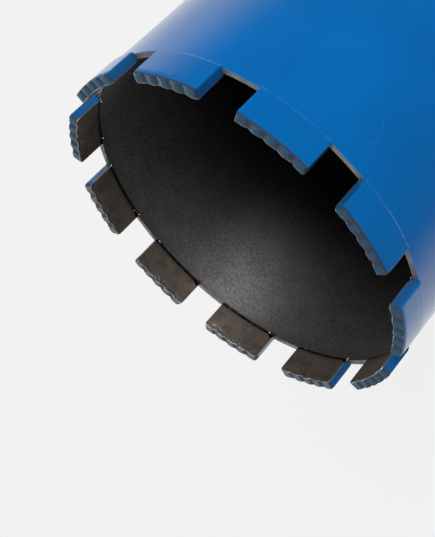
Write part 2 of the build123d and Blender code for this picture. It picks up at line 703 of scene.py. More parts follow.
@dataclass(frozen=True)
class DarkSteel:
    """The barrel's inside: dark mill steel rubbed by cores near the mouth, darker below by painted shade.

    The rub marks run round the bit, so they stretch its highlights down the wall. The rub turn,
    a quarter of a full one, points the shader's stretch that way.
    """

    colour: Colour = srgb(96, 96, 98)
    pale: Colour = srgb(139, 138, 140)
    # deep: the colour that the painted shade darkens the wall to, far down the barrel
    deep: Colour = srgb(38, 38, 40)
    warm: Colour = srgb(104, 98, 92)
    fleck: Colour = srgb(156, 156, 158)
    black_scorch_and_shade: Colour = srgb(10, 9, 9)
    grain: Grain = Grain(scale=1050.0, patch_scale=120.0, patches=0.25)
    grain_tones: Span = Span(0.4, 0.6)
    grain_depth: float = 0.09 * MM
    roughness: Span = Span(0.49, 0.37)
    metallic: float = 0.94
    rub_marks: float = 0.42
    rub_turn: float = 0.25
    dots: Dots = Dots(scale=850.0, size=0.3, share=0.16, strength=0.5)
    hairlines: Hairlines = Hairlines(scale=60.0, width=0.002, strength=0.3)
    marks_end: Span = Span(16 * MM, 42 * MM)
    # painted shade: the depths below the rim over which the wall darkens to deep
    shade_depths: Span = Span(16 * MM, 76 * MM)
    warm_depth: float = 6 * MM
    warm_share: float = 0.8
    scorch_and_shade: ScorchAndShade = ScorchAndShade()

    def build(self, kit: GroupKit, name: str) -> Material:
        """Writes the material, with the black line of scorch and painted shade under each segment.

        Args:
            kit: The shared groups.
            name: The material's name.

        Returns:
            The material.
        """
        finish = Finish(name, kit)
        graph = finish.graph
        grain = finish.grain(self.grain)
        depth = finish.below(kit.sizes.rim)
        colour = graph.blend(graph.ramp(grain, *self.grain_tones), self.colour, self.pale)
        # painted shade: the wall turns darker deeper below the rim
        colour = graph.blend(graph.ramp(depth, *self.shade_depths), colour, self.deep)
        colour = graph.blend(graph.fade(depth, 0.0, self.warm_depth, self.warm_share), colour, self.warm)
        marks = graph.math("MAXIMUM", finish.dots(self.dots), finish.hairlines(self.hairlines))
        marks = graph.math("MULTIPLY", marks, graph.fade(depth, *self.marks_end))
        colour = graph.blend(marks, colour, self.fleck)
        # the black line under each segment's ledge: weld scorch and painted shade
        scorch_and_shade = self.scorch_and_shade.mask(finish)
        finish.set(Base_Color=graph.blend(scorch_and_shade, colour, self.black_scorch_and_shade))
        finish.set(Metallic=graph.between(scorch_and_shade, self.metallic, 0.0))
        finish.set(Anisotropic=self.rub_marks, Anisotropic_Rotation=self.rub_turn)
        finish.set(Roughness=graph.ramp(grain, *GRAIN_RANGE, *self.roughness))
        finish.bump(grain, self.grain_depth)
        return finish.material


@dataclass(frozen=True)
class SinteredMetal:
    """A cutting segment: matt sintered metal, with paint on its outside, ends and crown.

    The soot, which is partly painted shade along the foot, rises where a segment ends, within
    turns that are shares of the angle from one segment to the next. The edge is the crown's inner
    one, rubbed bright and partly a painted highlight.
    """

    colour: Colour = srgb(126, 118, 106)
    warm: Colour = srgb(131, 110, 100)
    dark: Colour = srgb(84, 78, 72)
    fleck: Colour = srgb(156, 153, 144)
    soot_and_shade: Colour = srgb(13, 12, 12)
    paint: Colour = srgb(0, 90, 155)
    thin_paint: Colour = srgb(26, 76, 122)
    crown_paint: Colour = srgb(44, 61, 79)
    worn: Colour = srgb(112, 111, 110)
    # edge: the crown's inner edge, rubbed bright and partly a painted highlight
    fresh: Colour = srgb(46, 76, 98)
    edge: Colour = srgb(140, 141, 152)

    grain: Grain = Grain(scale=1700.0, patch_scale=150.0, patches=0.5)
    grain_tones: Span = Span(0.36, 0.64)
    grain_depth: float = 0.06 * MM
    painted_grain: float = 0.2
    warmth: Mottle = Mottle(scale=210.0)
    warm_tones: Span = Span(0.45, 0.7)
    warm_share: float = 0.7
    flecks: Dots = Dots(scale=900.0, size=0.2, share=0.03, strength=0.7)
    foot_depth: float = 2.6 * MM
    foot_share: float = 0.85

    soot_and_shade_ragged: Mottle = Mottle(scale=800.0, detail=3.0)
    soot_and_shade_least: float = 0.3
    soot_and_shade_heights: Span = Span(0.8 * MM, 2.0 * MM)
    soot_and_shade_turns: Span = Span(-0.08, 0.01)
    soot_and_shade_fade: float = 0.1 * MM

    paint_ragged: Mottle = Mottle(scale=620.0, detail=4.0, roughness=0.65)
    paint_least: float = 0.3
    paint_start: float = 0.24 * MM
    paint_fade: float = 0.25 * MM
    full_paint: Span = Span(2.5 * MM, 3.3 * MM)
    full_gloss: Span = Span(2.7 * MM, 3.2 * MM)
    runs: Mottle = Mottle(scale=90.0, detail=1.0)
    run_tones: Span = Span(0.5, 0.62)
    run_share: float = 0.6

    crown_depth: Span = Span(0.715 * MM, 1.3 * MM)
    coat_depth: Span = Span(1.3 * MM, 2.6 * MM)
    crown_wear: Wear = Wear(reach=0.5 * MM, scale=800.0)
    crown_share: float = 0.85
    rubbed_side: float = 45 * MM
    edge_width: Span = Span(0.25 * MM, 0.5 * MM)
    edge_depth: Span = Span(0.45 * MM, 0.75 * MM)
    edge_breaks: Mottle = Mottle(scale=520.0)
    edge_tones: Span = Span(0.46, 0.56)
    edge_share: float = 0.8

    bare_metallic: float = 0.85
    paint_metallic: float = 0.05
    worn_metallic: float = 0.2
    bare_roughness: Span = Span(0.5, 0.38)
    paint_roughness: float = 0.3
    lacquer: Lacquer = Lacquer()

    def build(self, kit: GroupKit, name: str) -> Material:
        """Writes the material.

        Args:
            kit: The shared groups.
            name: The material's name.

        Returns:
            The material.
        """
        finish = Finish(name, kit)
        graph = finish.graph
        grain = finish.grain(self.grain)
        out = graph.math("SUBTRACT", finish.radius, kit.sizes.core_radius)
        below = finish.below(kit.sizes.crown)
        ragged = graph.math("ADD", finish.mottle(self.paint_ragged), self.paint_least)
        start = graph.math("MULTIPLY", ragged, self.paint_start)
        painted = graph.ramp(graph.math("SUBTRACT", out, start), 0.0, self.paint_fade)
        worn = graph.math("MULTIPLY", finish.worn(below, self.crown_wear), self.crown_share)
        colour = graph.blend(painted, self._bare(finish, grain), self._paint(finish, out, below))
        colour = graph.blend(worn, colour, self._rubbed(finish))
        # the crown's inner edge: rubbed bright and partly a painted highlight
        colour = graph.blend(self._rubbed_edge_and_highlight(finish, out, below), colour, self.edge)
        intact = graph.math("SUBTRACT", 1.0, worn)
        gloss = graph.math("MULTIPLY", graph.ramp(out, *self.full_gloss), intact)
        matt = graph.ramp(grain, *GRAIN_RANGE, *self.bare_roughness)
        finish.set(Base_Color=colour, Roughness=graph.between(gloss, matt, self.paint_roughness))
        metal = graph.between(painted, self.bare_metallic, self.paint_metallic)
        finish.set(Metallic=graph.between(worn, metal, self.worn_metallic))
        cover = graph.math("MULTIPLY", painted, graph.ramp(below, *self.coat_depth))
        self.lacquer.coat(finish, cover)
        relief = graph.math("MULTIPLY", grain, graph.between(gloss, 1.0, self.painted_grain))
        finish.bump(relief, self.grain_depth)
        return finish.material

    def _bare(self, finish: Finish, grain: NodeSocket) -> NodeSocket:
        """The bare metal's colour: mottled, flecked, darker by its foot, with soot and painted shade at the
        weld.

        Args:
            finish: The material.
            grain: Its grain.

        Returns:
            The colour.
        """
        graph, sizes = finish.graph, finish.kit.sizes
        bare = graph.blend(graph.ramp(grain, *self.grain_tones), self.dark, self.colour)
        warmth = graph.ramp(finish.mottle(self.warmth), *self.warm_tones)
        bare = graph.blend(graph.math("MULTIPLY", warmth, self.warm_share), bare, self.warm)
        bare = graph.blend(finish.dots(self.flecks), bare, self.fleck)
        above = graph.math("SUBTRACT", finish.height, sizes.rim)
        bare = graph.blend(graph.fade(above, 0.0, self.foot_depth, self.foot_share), bare, self.dark)
        # soot and painted shade: a black band along the foot, rising where the segment ends
        off_end = graph.math("SUBTRACT", finish.turn, sizes.end_turn)
        reach = graph.ramp(off_end, *self.soot_and_shade_turns, *self.soot_and_shade_heights)
        ragged = graph.math("ADD", finish.mottle(self.soot_and_shade_ragged), self.soot_and_shade_least)
        over = graph.math("SUBTRACT", above, graph.math("MULTIPLY", ragged, reach))
        return graph.blend(graph.fade(over, -self.soot_and_shade_fade, self.soot_and_shade_fade), bare, self.soot_and_shade)

    def _rubbed(self, finish: Finish) -> NodeSocket:
        """The rubbed crown's colour: greyer on the +Y side of the bit, where more paint has gone.

        Args:
            finish: The material.

        Returns:
            The colour.
        """
        graph = finish.graph
        side = graph.add("ShaderNodeSeparateXYZ", {"Vector": finish.place}).outputs["Y"]
        return graph.blend(graph.ramp(side, 0.0, self.rubbed_side), self.fresh, self.worn)

    def _paint(self, finish: Finish, out: NodeSocket, below: NodeSocket) -> NodeSocket:
        """The paint's colour: full outside, thin on the ends and dull on the crown.

        Args:
            finish: The material.
            out: The distance out from the segment's core side.
            below: The distance below the crown.

        Returns:
            The colour.
        """
        graph = finish.graph
        runs = graph.ramp(finish.mottle(self.runs), *self.run_tones)
        thick = graph.math("MULTIPLY", runs, self.run_share)
        cover = graph.math("MAXIMUM", graph.ramp(out, *self.full_paint), thick)
        paint = graph.blend(cover, self.thin_paint, self.paint)
        return graph.blend(graph.fade(below, *self.crown_depth), paint, self.crown_paint)

    def _rubbed_edge_and_highlight(self, finish: Finish, out: NodeSocket, below: NodeSocket) -> NodeSocket:
        """The mask of the crown's inner edge, rubbed and partly a painted highlight, broken along its length.

        Args:
            finish: The material.
            out: The distance out from the segment's core side.
            below: The distance below the crown.

        Returns:
            The mask, from 0 to 1.
        """
        graph = finish.graph
        edge = graph.math("MULTIPLY", graph.fade(out, *self.edge_width), graph.fade(below, *self.edge_depth))
        broken = graph.ramp(finish.mottle(self.edge_breaks), *self.edge_tones, 0.0, self.edge_share)
        return graph.math("MULTIPLY", edge, broken)


@dataclass(frozen=True)
class GrainedMetal:
    """A metal of two tones with a fine grain."""

    dark: Colour
    pale: Colour
    grain: Grain
    grain_tones: Span
    grain_depth: float
    roughness: Span
    metallic: float

    def build(self, kit: GroupKit, name: str) -> Material:
        """Writes the material.

        Args:
            kit: The shared groups.
            name: The material's name.

        Returns:
            The material.
        """
        finish = Finish(name, kit)
        graph = finish.graph
        grain = finish.grain(self.grain)
        finish.set(Base_Color=graph.blend(graph.ramp(grain, *self.grain_tones), self.dark, self.pale))
        finish.set(Metallic=self.metallic)
        finish.set(Roughness=graph.ramp(grain, *GRAIN_RANGE, *self.roughness))
        finish.bump(self.relief(finish, grain), self.grain_depth)
        return finish.material

    def relief(self, finish: Finish, grain: NodeSocket) -> NodeSocket:
        """The height pattern of the surface."""
        return grain


@dataclass(frozen=True)
class RimSteel(GrainedMetal):
    """The rim's bare end face between the segments."""

    dark: Colour = srgb(61, 59, 63)
    pale: Colour = srgb(106, 105, 108)
    grain: Grain = Grain(scale=1800.0, patch_scale=260.0, patches=0.5)
    grain_tones: Span = Span(0.35, 0.6)
    grain_depth: float = 0.02 * MM
    roughness: Span = Span(0.6, 0.45)
    metallic: float = 0.3


@dataclass(frozen=True)
class WeldScale(GrainedMetal):
    """The black scale of a laser weld, browned in places."""

    dark: Colour = srgb(22, 20, 20)
    pale: Colour = srgb(60, 48, 40)
    grain: Grain = Grain(scale=2400.0, patch_scale=600.0, patches=0.5)
    grain_tones: Span = Span(0.55, 0.75)
    grain_depth: float = 0.05 * MM
    roughness: Span = Span(0.55, 0.3)
    metallic: float = 0.3


@dataclass(frozen=True)
class BrightSteel(GrainedMetal):
    """The clean bright steel of a weld's droplets."""

    dark: Colour = srgb(196, 195, 196)
    pale: Colour = srgb(238, 238, 240)
    grain: Grain = Grain(scale=1300.0, patch_scale=70.0, patches=0.55)
    grain_tones: Span = Span(0.35, 0.62)
    grain_depth: float = 0.012 * MM
    roughness: Span = Span(0.42, 0.26)
    metallic: float = 0.9


@dataclass(frozen=True)
class TurnedSteel(BrightSteel):
    """The hub's steel: duller, and ringed by the lathe."""

    dark: Colour = srgb(128, 126, 126)
    pale: Colour = srgb(176, 176, 178)
    rings: float = 0.6
    rings_per_metre: float = 2600.0

    def relief(self, finish: Finish, grain: NodeSocket) -> NodeSocket:
        """The grain, with the rings that a lathe leaves over it.

        Args:
            finish: The material.
            grain: Its grain.

        Returns:
            The height pattern.
        """
        graph = finish.graph
        along = graph.math("ADD", finish.radius, finish.height)
        wave = graph.math("SINE", graph.math("MULTIPLY", along, self.rings_per_metre * math.tau))
        return graph.between(self.rings, grain, graph.ramp(wave, -1.0, 1.0))


@dataclass
class Finishes:
    """Every material of the bit."""

    sizes: BitSizes
    barrel_paint: Material = field(init=False)
    plate_paint: Material = field(init=False)
    inside: Material = field(init=False)
    rim: Material = field(init=False)
    segment: Material = field(init=False)
    scale: Material = field(init=False)
    spatter: Material = field(init=False)
    hub: Material = field(init=False)

    def __post_init__(self) -> None:
        """Builds the groups once and then each material."""
        kit = GroupKit(self.sizes)
        self.barrel_paint = BluePaint().build(kit, "barrel enamel", self.sizes.rim)
        self.plate_paint = BluePaint().build(kit, "plate enamel")
        self.inside = DarkSteel().build(kit, "barrel inside")
        self.rim = RimSteel().build(kit, "rim end")
        self.segment = SinteredMetal().build(kit, "sintered segment")
        self.scale = WeldScale().build(kit, "weld scale")
        self.spatter = BrightSteel().build(kit, "weld spatter")
        self.hub = TurnedSteel().build(kit, "turned hub")


def put(name: str, data: ID) -> Object:
    """Puts a new object into the scene.

    Args:
        name: The object's name.
        data: Its mesh, lamp or camera.

    Returns:
        The object.
    """
    item = bpy.data.objects.new(name, data)
    bpy.context.scene.collection.objects.link(item)
    return item


def direction(azimuth: float, elevation: float) -> Vector:
    """The unit vector that points to an azimuth and an elevation, in degrees."""
    turn, lift = math.radians(azimuth), math.radians(elevation)
    return Vector((math.cos(turn) * math.cos(lift), math.sin(turn) * math.cos(lift), math.sin(lift)))


class Shop:
    """Turns finished bmeshes into pieces of the bit."""

    sharp_angle: float = math.radians(32)

    @staticmethod
    def mesh(bm: BMesh, name: str) -> Mesh:
        """Turns a bmesh into a mesh.

        Args:
            bm: The bmesh. It is freed.
            name: The mesh's name.

        Returns:
            The mesh.
        """
        mesh = bpy.data.meshes.new(name)
        bm.to_mesh(mesh)
        bm.free()
        return mesh

    @staticmethod
    def piece(
        bm: BMesh, name: str, materials: Sequence[Material], slot: Slot, nodes: Sequence[str] = ()
    ) -> Object:
        """Makes a piece that rides on the bit.

        Args:
            bm: The mesh, in the frame's axes. It is freed.
            name: The piece's name.
            materials: The materials, in the order of the faces' indices.
            slot: The record's slot for the piece; not used.
            nodes: The frame's nodes that the piece stands for.

        Returns:
            The new object.
        """
        mesh = Shop.mesh(bm, name)
        mesh.shade_smooth()
        mesh.set_sharp_from_angle(angle=Shop.sharp_angle)
        for material in materials:
            mesh.materials.append(material)
        item = put(name, mesh)
        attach(item, BODY)
        if nodes:
            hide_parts(*nodes)
        log.info("%s: %d faces", name, len(mesh.polygons))
        return item

    @staticmethod
    def face_outwards(bm: BMesh) -> None:
        """Turns the faces of a closed mesh outwards.

        Args:
            bm: The mesh.
        """
        bmesh.ops.recalc_face_normals(bm, faces=bm.faces)
        if bm.calc_volume(signed=True) < 0:
            bmesh.ops.reverse_faces(bm, faces=bm.faces)
        bm.normal_update()

    @staticmethod
    def ring(profile: Sequence[Point], steps: int) -> BMesh:
        """Spins a closed outline round the bit's axis.

        Args:
            profile: The outline's corners as radius and height.
            steps: The number of steps round the circle.

        Returns:
            The ring with its faces pointing outwards.
        """
        bm = bmesh.new()
        verts = [bm.verts.new((radius, 0.0, height)) for radius, height in profile]
        edges = [bm.edges.new((a, b)) for a, b in zip(verts, verts[1:] + verts[:1])]
        bmesh.ops.spin(
            bm, geom=verts + edges, cent=ORIGIN, axis=UP, angle=math.tau, steps=steps, use_merge=True
        )
        Shop.face_outwards(bm)
        return bm


@dataclass
class Barrel:
    """The thin tube: painted outside, dark inside, bare on its rim."""

    sizes: BitSizes
    finishes: Finishes
    rim_edge: float = 0.18 * MM
    lengthwise_cuts: int = 12

    def build(self) -> Object:
        """Spins the wall and gives each side its material.

        Returns:
            The tube.
        """
        outer, bore, groove = self.sizes.barrel_radius, self.sizes.barrel_bore, self.sizes.groove
        foot, rim, edge = self.sizes.barrel_foot, self.sizes.rim, self.rim_edge
        heights = [foot + (rim - foot) * i / self.lengthwise_cuts for i in range(1, self.lengthwise_cuts)]
        profile = [(bore, foot), (outer - groove, foot), (outer, foot + groove)]
        profile += [(outer, z) for z in heights]
        profile += [(outer, rim - edge), (outer - edge, rim), (bore + edge, rim), (bore, rim - edge)]
        profile += [(bore, z) for z in reversed(heights)]
        bm = Shop.ring(profile, self.sizes.spin_steps)
        self._dress(bm)
        materials = [self.finishes.barrel_paint, self.finishes.inside, self.finishes.rim]
        return Shop.piece(bm, "barrel_tube", materials, Slot.BARREL, ["barrel"])

    def _dress(self, bm: BMesh) -> None:
        """Gives each face its material.

        Args:
            bm: The tube's mesh.
        """
        outer = self.sizes.barrel_radius
        middle = (outer + self.sizes.barrel_bore) / 2
        for face in bm.faces:
            centre = face.calc_center_median()
            radius = math.hypot(centre.x, centre.y)
            face.material_index = Skin.PAINTED if radius > middle else Skin.INSIDE
            if centre.z > self.sizes.rim - self.rim_edge and radius < outer - self.rim_edge:
                face.material_index = Skin.RIM


@dataclass
class CuttingSegments:
    """The sintered segments: waved crowns, rounded corners and a rough skin."""

    sizes: BitSizes
    finishes: Finishes
    waves: int = 5
    wave_depth: float = 0.45 * MM
    valley_radius: float = 1.4 * MM
    crown_corner: float = 1.0 * MM
    edge: float = 0.2 * MM
    edge_steps: int = 3
    sharp_angle: float = math.radians(50)
    cell: float = 0.44 * MM
    skin_depth: float = 0.024 * MM
    skin_grain: float = 0.55 * MM
    skin_grain_depth: float = 0.016 * MM
    skin_wave: float = 2.2 * MM
    skin_wave_depth: float = 0.012 * MM
    chip_size: float = 0.9 * MM
    chip_depth: float = 0.24 * MM
    chipped_height: float = 2.2 * MM
    chipped_width: float = 0.5 * MM

    def crown_drop(self, along: float) -> float:
        """How far the crown lies below its ridges.

        Args:
            along: The distance from the segment's middle.

        Returns:
            The drop, from the ridges' and valleys' arcs and the rounded corner at the end.
        """
        end = self.sizes.segment_length / 2
        from_end = end - abs(along)
        if from_end < self.crown_corner:
            reach = self.crown_corner - from_end
            return self.crown_corner - math.sqrt(max(self.crown_corner**2 - reach**2, 0.0))
        pitch = self.sizes.segment_length / self.waves
        if from_end < pitch / 2:
            return 0.0
        slope = 2 * math.atan(2 * self.wave_depth / pitch)
        ridge_radius = pitch / 2 / math.sin(slope) - self.valley_radius
        off_ridge = abs((from_end / pitch) % 1.0 - 0.5) * pitch
        if off_ridge < ridge_radius * math.sin(slope):
            return ridge_radius - math.sqrt(ridge_radius**2 - off_ridge**2)
        off_valley = pitch / 2 - off_ridge
        rise = self.valley_radius - math.sqrt(self.valley_radius**2 - off_valley**2)
        return self.wave_depth - rise

    def block(self) -> BMesh:
        """Makes the segment as a straight block.

        Returns:
            The block, with X along it, Y through its thickness and Z up.
        """
        length, thick = self.sizes.segment_length, self.sizes.segment_thickness
        height = self.sizes.crown - self.sizes.rim
        bm = bmesh.new()
        columns, rows = round(length / self.cell), round(height / self.cell)
        bmesh.ops.create_grid(bm, x_segments=columns, y_segments=rows, size=0.5)
        for vert in bm.verts:
            along = vert.co.x * length
            top = height - self.crown_drop(along)
            vert.co = Vector((along, 0.0, (vert.co.y + 0.5) * top))
        extruded = bmesh.ops.extrude_face_region(bm, geom=bm.faces[:])
        far = [item for item in extruded["geom"] if isinstance(item, BMVert)]
        bmesh.ops.translate(bm, verts=far, vec=(0.0, thick, 0.0))
        across = [e for e in bm.edges if abs(e.verts[0].co.y - e.verts[1].co.y) > thick / 2]
        bmesh.ops.subdivide_edges(bm, edges=across, cuts=round(thick / self.cell) - 1, use_grid_fill=True)
        Shop.face_outwards(bm)
        bmesh.ops.bevel(
            bm,
            geom=self._corners(bm),
            offset=self.edge,
            segments=self.edge_steps,
            profile=0.5,
            affect="EDGES",
            material=-1,
        )
        return bm

    def _corners(self, bm: BMesh) -> list[BMEdge]:
        """The block's sharp edges, round both big faces and at its four upright corners."""
        return [e for e in bm.edges if len(e.link_faces) == 2 and e.calc_face_angle(0.0) > self.sharp_angle]

    def build(self) -> list[Object]:
        """Makes every segment in its place on the rim."""
        return [self._segment(i) for i in range(self.sizes.segment_count)]

    def _segment(self, index: int) -> Object:
        """Makes one segment, bent to the barrel's curve and roughened.

        Args:
            index: The segment's place, counted from 0.

        Returns:
            The segment.
        """
        bm = self.block()
        turn = Matrix.Rotation(self.sizes.segment_angle(index), 4, UP)
        for vert in bm.verts:
            radius = self.sizes.core_radius + vert.co.y
            reach = math.sqrt(radius**2 - vert.co.x**2)
            vert.co = turn @ Vector((reach, vert.co.x, self.sizes.rim + vert.co.z))
        Shop.face_outwards(bm)
        self._roughen(bm)
        name = f"cutting_segment_{index + 1:02d}"
        return Shop.piece(bm, name, [self.finishes.segment], Slot.SEGMENT, [f"segment_{index + 1:02d}"])

    def _roughen(self, bm: BMesh) -> None:
        """Presses the surface in by a fine skin, and chips the crown's edges.

        Args:
            bm: The segment's mesh, in its place.
        """
        for vert in bm.verts:
            depth = self.skin_depth
            depth += self.skin_grain_depth * noise.noise(vert.co / self.skin_grain)
            depth += self.skin_wave_depth * noise.noise(vert.co / self.skin_wave)
            below = self.sizes.crown - vert.co.z
            radius = math.hypot(vert.co.x, vert.co.y)
            to_face = min(radius - self.sizes.core_radius, self.sizes.cutting_radius - radius)
            if below < self.chipped_height and to_face < self.chipped_width:
                depth += self.chip_depth * max(noise.noise(vert.co / self.chip_size), 0.0)
            vert.co -= vert.normal * max(depth, 0.0)


@dataclass
class WeldTraces:
    """What the laser weld leaves at each segment's foot: a bead, black burrs and bright spatter.

    The depth, length and height of a burr or a drop are shares of its size, and so are the
    burr's inset and its swell. The bead's swell is a share of its radius. The drops' turns are
    radians past a segment's end, and their levels are over the rim.
    """

    sizes: BitSizes
    finishes: Finishes
    bead_radius: float = 0.48 * MM
    bead_sides: int = 10
    bead_steps: int = 64
    bead_drop: float = 0.1 * MM
    bead_lump: float = 0.8 * MM
    bead_swell: float = 0.3
    burr_sizes: tuple[float, float] = (0.7 * MM, 1.15 * MM)
    burr_spread: Span = Span(0.8, 1.0)
    burr_inset: float = 0.3
    burr_drop: float = 0.15 * MM
    burr_depth: float = 0.45
    burr_length: Span = Span(1.0, 1.3)
    burr_height: float = 0.75
    burr_lump: float = 0.45 * MM
    burr_swell: float = 0.35
    burr_detail: int = 3
    drops_per_end: int = 4
    drop_sizes: Span = Span(0.14 * MM, 0.38 * MM)
    drop_turns: Span = Span(-0.04, 0.01)
    drop_stand_off: Span = Span(0.2 * MM, 0.55 * MM)
    drop_levels: Span = Span(-0.6 * MM, 0.5 * MM)
    drop_depth: Span = Span(0.6, 0.9)
    drop_length: Span = Span(0.9, 1.5)
    drop_detail: int = 2
    pattern_shift: Span = Span(0.0, 9.0)
    seed: int = 7

    def build(self) -> list[Object]:
        """Makes the beads, the burrs and the spatter of every segment.

        Returns:
            The pieces.
        """
        rng = random.Random(self.seed)
        items = []
        for index in range(self.sizes.segment_count):
            # the inner bead's black is weld scale, and also painted shade under each segment's ledge
            items.append(self._bead(index, Side.CORE, self.finishes.scale, rng))
            items.append(self._bead(index, Side.HOLE, self.finishes.barrel_paint, rng))
            items.append(self._burrs(index, rng))
            items.append(self._spatter(index, rng))
        return items

    @staticmethod
    def _at(angle: float, radius: float, height: float) -> Matrix:
        """The place at an angle, a radius and a height on the bit, with X pointing outwards."""
        return Matrix.Rotation(angle, 4, UP) @ Matrix.Translation((radius, 0.0, height))

    def _swell(self, verts: Sequence[BMVert], amount: float, lump: float, rng: random.Random) -> None:
        """Swells and shrinks a surface by a lumpy pattern.

        Args:
            verts: The surface's vertices.
            amount: How far the strongest lump stands out.
            lump: The size of a lump.
            rng: The source of the pattern's place.
        """
        shift = Vector((rng.uniform(*self.pattern_shift), rng.uniform(*self.pattern_shift), 0.0))
        for vert in verts:
            vert.co += vert.normal * (amount * noise.noise(vert.co / lump + shift))

    def _bead(self, index: int, side: Side, material: Material, rng: random.Random) -> Object:
        """Makes a thin uneven bead in the corner between the barrel's wall and a segment's foot.

        Args:
            index: The segment's place, counted from 0.
            side: The side of the wall.
            material: The bead's material.
            rng: The source of random numbers.

        Returns:
            The bead.
        """
        wall = self.sizes.barrel_bore if side is Side.CORE else self.sizes.barrel_radius
        start = self.sizes.segment_angle(index) - self.sizes.half_span
        bm = bmesh.new()
        bmesh.ops.create_circle(bm, cap_ends=True, radius=self.bead_radius, segments=self.bead_sides)
        place = self._at(start, wall, self.sizes.rim - self.bead_drop)
        bmesh.ops.transform(bm, matrix=place @ Matrix.Rotation(math.pi / 2, 4, "X"), verts=bm.verts)
        bmesh.ops.spin(
            bm,
            geom=bm.faces[:],
            cent=ORIGIN,
            axis=UP,
            angle=2 * self.sizes.half_span,
            steps=self.bead_steps,
            use_duplicate=False,
        )
        Shop.face_outwards(bm)
        self._swell(bm.verts, self.bead_swell * self.bead_radius, self.bead_lump, rng)
        return Shop.piece(bm, f"weld_bead_{side.value}_{index + 1:02d}", [material], Slot.SEGMENT)

    def _burrs(self, index: int, rng: random.Random) -> Object:
        """Makes a lump of black scale at each end of a segment's foot.

        Args:
            index: The segment's place, counted from 0.
            rng: The source of random numbers.

        Returns:
            Both lumps, as one piece.
        """
        bm = bmesh.new()
        middle, bore = self.sizes.segment_angle(index), self.sizes.barrel_bore
        for end, burr_size in zip((-1, 1), self.burr_sizes):
            angle = middle + end * (self.sizes.half_span - self.burr_inset * burr_size / bore)
            size = rng.uniform(*self.burr_spread) * burr_size
            place = self._at(angle, bore, self.sizes.rim - self.burr_drop)
            squash = Matrix.Diagonal((self.burr_depth, rng.uniform(*self.burr_length), self.burr_height, 1.0))
            lump = bmesh.ops.create_icosphere(
                bm, subdivisions=self.burr_detail, radius=size, matrix=place @ squash
            )
            bm.normal_update()
            self._swell(lump["verts"], self.burr_swell * size, self.burr_lump, rng)
        return Shop.piece(bm, f"weld_burr_{index + 1:02d}", [self.finishes.scale], Slot.SEGMENT)

    def _spatter(self, index: int, rng: random.Random) -> Object:
        """Makes bright droplets near both ends of a segment's foot.

        Args:
            index: The segment's place, counted from 0.
            rng: The source of random numbers.

        Returns:
            The droplets, as one piece.
        """
        bm = bmesh.new()
        middle = self.sizes.segment_angle(index)
        for end in (-1, 1):
            for _ in range(self.drops_per_end):
                size = rng.uniform(*self.drop_sizes)
                angle = middle + end * (self.sizes.half_span + rng.uniform(*self.drop_turns))
                radius = self.sizes.barrel_bore - rng.uniform(*self.drop_stand_off)
                place = self._at(angle, radius, self.sizes.rim + rng.uniform(*self.drop_levels))
                squash = (rng.uniform(*self.drop_depth), rng.uniform(*self.drop_length), 1.0, 1.0)
                bmesh.ops.create_icosphere(
                    bm, subdivisions=self.drop_detail, radius=size, matrix=place @ Matrix.Diagonal(squash)
                )
        return Shop.piece(bm, f"weld_spatter_{index + 1:02d}", [self.finishes.spatter], Slot.SEGMENT)


